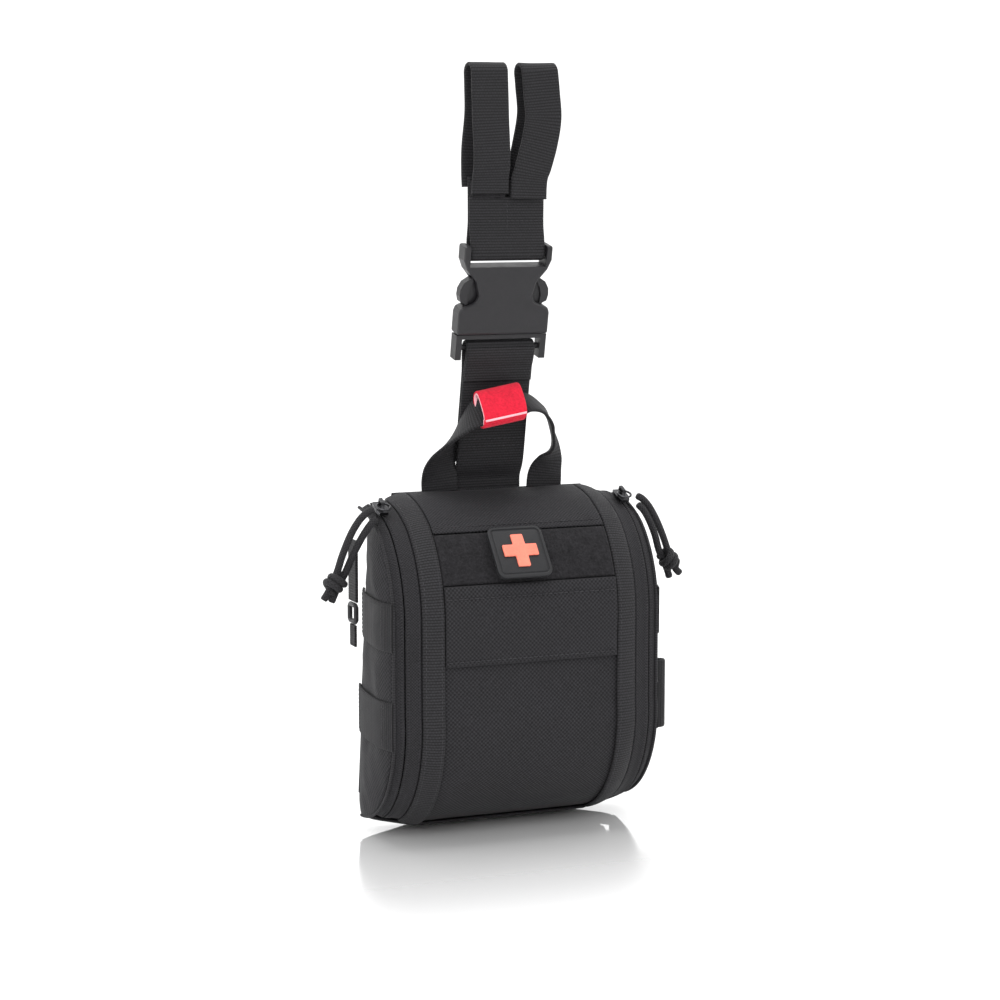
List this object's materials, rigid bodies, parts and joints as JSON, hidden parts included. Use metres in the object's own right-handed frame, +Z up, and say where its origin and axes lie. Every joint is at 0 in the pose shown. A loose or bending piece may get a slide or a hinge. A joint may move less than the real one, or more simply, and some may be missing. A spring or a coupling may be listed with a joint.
{
  "type": "drop leg first aid pouch",
  "caption": "Rounded first aid pouch with a drop-down zipped cover, hanging by a webbing strap and side-release buckle from hook-and-loop belt loops.",
  "frame": {"origin": "centre of the belt passage inside the two belt loops", "axes": "+Z up along the hanging pouch, -Y to the front, +X to the wearer's left as seen from the front (right in a front view)"},
  "size_m": [0.2127, 0.0778, 0.4015],
  "materials": {
    "cordura": "dull woven nylon, coated back",
    "webbing": "ribbed nylon webbing",
    "grosgrain": "ribbed binding tape with two rows of stitches",
    "hook_loop": "fuzzy loop pile",
    "zip_tape": "fine woven tape over a spiral coil",
    "buckle_plastic": "moulded acetal, satin",
    "metal": "worn bright slider",
    "red_grip": "red loop-pile sleeve",
    "pvc_dark": "soft moulded PVC",
    "pvc_salmon": "soft moulded PVC inlay",
    "paracord": "braided cord",
    "lining": "smooth lining and air mesh",
    "stiffener": "thin polyethylene sheet"
  },
  "bodies": {
    "hanger": {"flap_loop_left": "hook_loop", "flap_loop_right": "hook_loop", "hanger_web_left": "webbing", "hanger_web_right": "webbing"},
    "flap_left": {"belt_flap_left": "webbing", "flap_hook_left": "hook_loop"},
    "flap_right": {"belt_flap_right": "webbing", "flap_hook_right": "hook_loop"},
    "buckle_socket": {"buckle_socket": "buckle_plastic"},
    "buckle_plug": {"buckle_plug": "buckle_plastic"},
    "latch_left": {"latch_arm_left": "buckle_plastic"},
    "latch_right": {"latch_arm_right": "buckle_plastic"},
    "pouch": {"back_panel": "cordura", "back_stiffener": "stiffener", "base_strip": "cordura", "drop_strap": "webbing", "elastic_loop_left": "webbing", "elastic_loop_right": "webbing", "gusset_left": "cordura", "gusset_right": "cordura", "organiser_panel": "lining", "pals_lower_left": "webbing", "pals_lower_right": "webbing", "pals_upper_left": "webbing", "pals_upper_right": "webbing", "thigh_pad": "lining", "zip_coil_body_left": "zip_tape", "zip_coil_body_right": "zip_tape", "zip_tape_body_left": "zip_tape", "zip_tape_body_right": "zip_tape"},
    "cover": {"front_panel": "cordura", "inner_mesh_pocket": "lining", "loop_panel": "hook_loop", "pocket_panel": "cordura", "ribbed_band_left": "grosgrain", "ribbed_band_right": "grosgrain", "top_panel": "cordura", "zip_coil_cover_left": "zip_tape", "zip_coil_cover_right": "zip_tape", "zip_tape_cover_left": "zip_tape", "zip_tape_cover_right": "zip_tape"},
    "patch": {"patch_base": "pvc_dark", "patch_hook": "hook_loop", "patch_plus": "pvc_salmon"},
    "zip_left": {"zip_slider_left": "metal"},
    "zip_right": {"zip_slider_right": "metal"},
    "ring_left": {"zip_ring_left": "metal"},
    "ring_right": {"zip_ring_right": "metal"},
    "pull_left": {"pull_cord_left_a": "paracord", "pull_cord_left_b": "paracord", "pull_knot_left": "paracord"},
    "pull_right": {"pull_cord_right_a": "paracord", "pull_cord_right_b": "paracord", "pull_knot_right": "paracord"},
    "handle": {"handle_grip": "red_grip", "handle_webbing": "webbing"},
    "thigh_loop": {"thigh_loop_right": "webbing"},
    "thigh_tab": {"thigh_ring_left": "buckle_plastic", "thigh_tab_left": "webbing", "thigh_web_left": "webbing"}
  },
  "joints": [
    {"name": "flap_left_open", "type": "hinge", "parent": "hanger", "child": "flap_left", "pos_m": [0, 0.0062, 0.0238], "axis": [-1, 0, 0], "range_deg": [0, 150]},
    {"name": "flap_right_open", "type": "hinge", "parent": "hanger", "child": "flap_right", "pos_m": [0, 0.0062, 0.0238], "axis": [-1, 0, 0], "range_deg": [0, 150]},
    {"name": "buckle_swing", "type": "hinge", "parent": "hanger", "child": "buckle_socket", "pos_m": [0, 0.004, -0.071], "axis": [-1, 0, 0], "range_deg": [0, 60]},
    {"name": "buckle_release", "type": "slide", "parent": "buckle_socket", "child": "buckle_plug", "axis": [0, 0.2079, -0.9781], "range_m": [0, 0.036], "deforming": ["latch_arm_left", "latch_arm_right"]},
    {"name": "latch_left_press", "type": "hinge", "parent": "buckle_plug", "child": "latch_left", "pos_m": [-0.0196, 0.0124, -0.11052], "axis": [0, 0.9781, 0.2079], "range_deg": [0, 6], "stiffness_Nm_per_rad": 0.05},
    {"name": "latch_right_press", "type": "hinge", "parent": "buckle_plug", "child": "latch_right", "pos_m": [0.0196, 0.0124, -0.11052], "axis": [0, -0.9781, -0.2079], "range_deg": [0, 6], "stiffness_Nm_per_rad": 0.05},
    {"name": "pouch_swing", "type": "hinge", "parent": "buckle_plug", "child": "pouch", "pos_m": [0, 0.0144, -0.11991], "axis": [-1, 0, 0], "range_deg": [0, 60]},
    {"name": "cover_drop", "type": "hinge", "parent": "pouch", "child": "cover", "pos_m": [0, 0.02, -0.371], "axis": [1, 0, 0], "range_deg": [0, 100]},
    {"name": "zip_left_run", "type": "hinge", "parent": "cover", "child": "zip_left", "pos_m": [0, 0.03, -0.257], "axis": [1, 0, 0], "range_deg": [0, 62]},
    {"name": "zip_left_ring", "type": "hinge", "parent": "zip_left", "child": "ring_left", "pos_m": [-0.068, 0.00636, -0.19849], "axis": [1, 0, 0], "range_deg": [-100, 0]},
    {"name": "zip_left_hang", "type": "hinge", "parent": "ring_left", "child": "pull_left", "pos_m": [-0.068, -0.00013, -0.20112], "axis": [1, 0, 0], "range_deg": [-62, 0]},
    {"name": "zip_right_run", "type": "hinge", "parent": "cover", "child": "zip_right", "pos_m": [0, 0.03, -0.257], "axis": [1, 0, 0], "range_deg": [0, 62]},
    {"name": "zip_right_ring", "type": "hinge", "parent": "zip_right", "child": "ring_right", "pos_m": [0.068, 0.00636, -0.19849], "axis": [1, 0, 0], "range_deg": [-100, 0]},
    {"name": "zip_right_hang", "type": "hinge", "parent": "ring_right", "child": "pull_right", "pos_m": [0.068, -0.00013, -0.20112], "axis": [1, 0, 0], "range_deg": [-62, 0]},
    {"name": "handle_swing", "type": "hinge", "parent": "pouch", "child": "handle", "pos_m": [0, 0.0284, -0.1924], "axis": [1, 0, 0], "range_deg": [-2, 60]},
    {"name": "patch_peel", "type": "slide", "parent": "cover", "child": "patch", "axis": [0, -0.848, 0.5299], "range_m": [0, 0.03]},
    {"name": "thigh_loop_swing", "type": "hinge", "parent": "pouch", "child": "thigh_loop", "pos_m": [0.062, 0.0304, -0.316], "axis": [0, 0, 1], "range_deg": [0, 60]},
    {"name": "thigh_tab_swing", "type": "hinge", "parent": "pouch", "child": "thigh_tab", "pos_m": [-0.0756, 0.03, -0.221], "axis": [0, 0, 1], "range_deg": [-40, 20]}
  ],
  "couplings": [
    {"joint": "zip_left_ring", "follows": "cover_drop", "ratio": -1},
    {"joint": "zip_left_hang", "follows": "zip_left_run", "ratio": -1},
    {"joint": "zip_right_ring", "follows": "cover_drop", "ratio": -1},
    {"joint": "zip_right_hang", "follows": "zip_right_run", "ratio": -1}
  ]
}
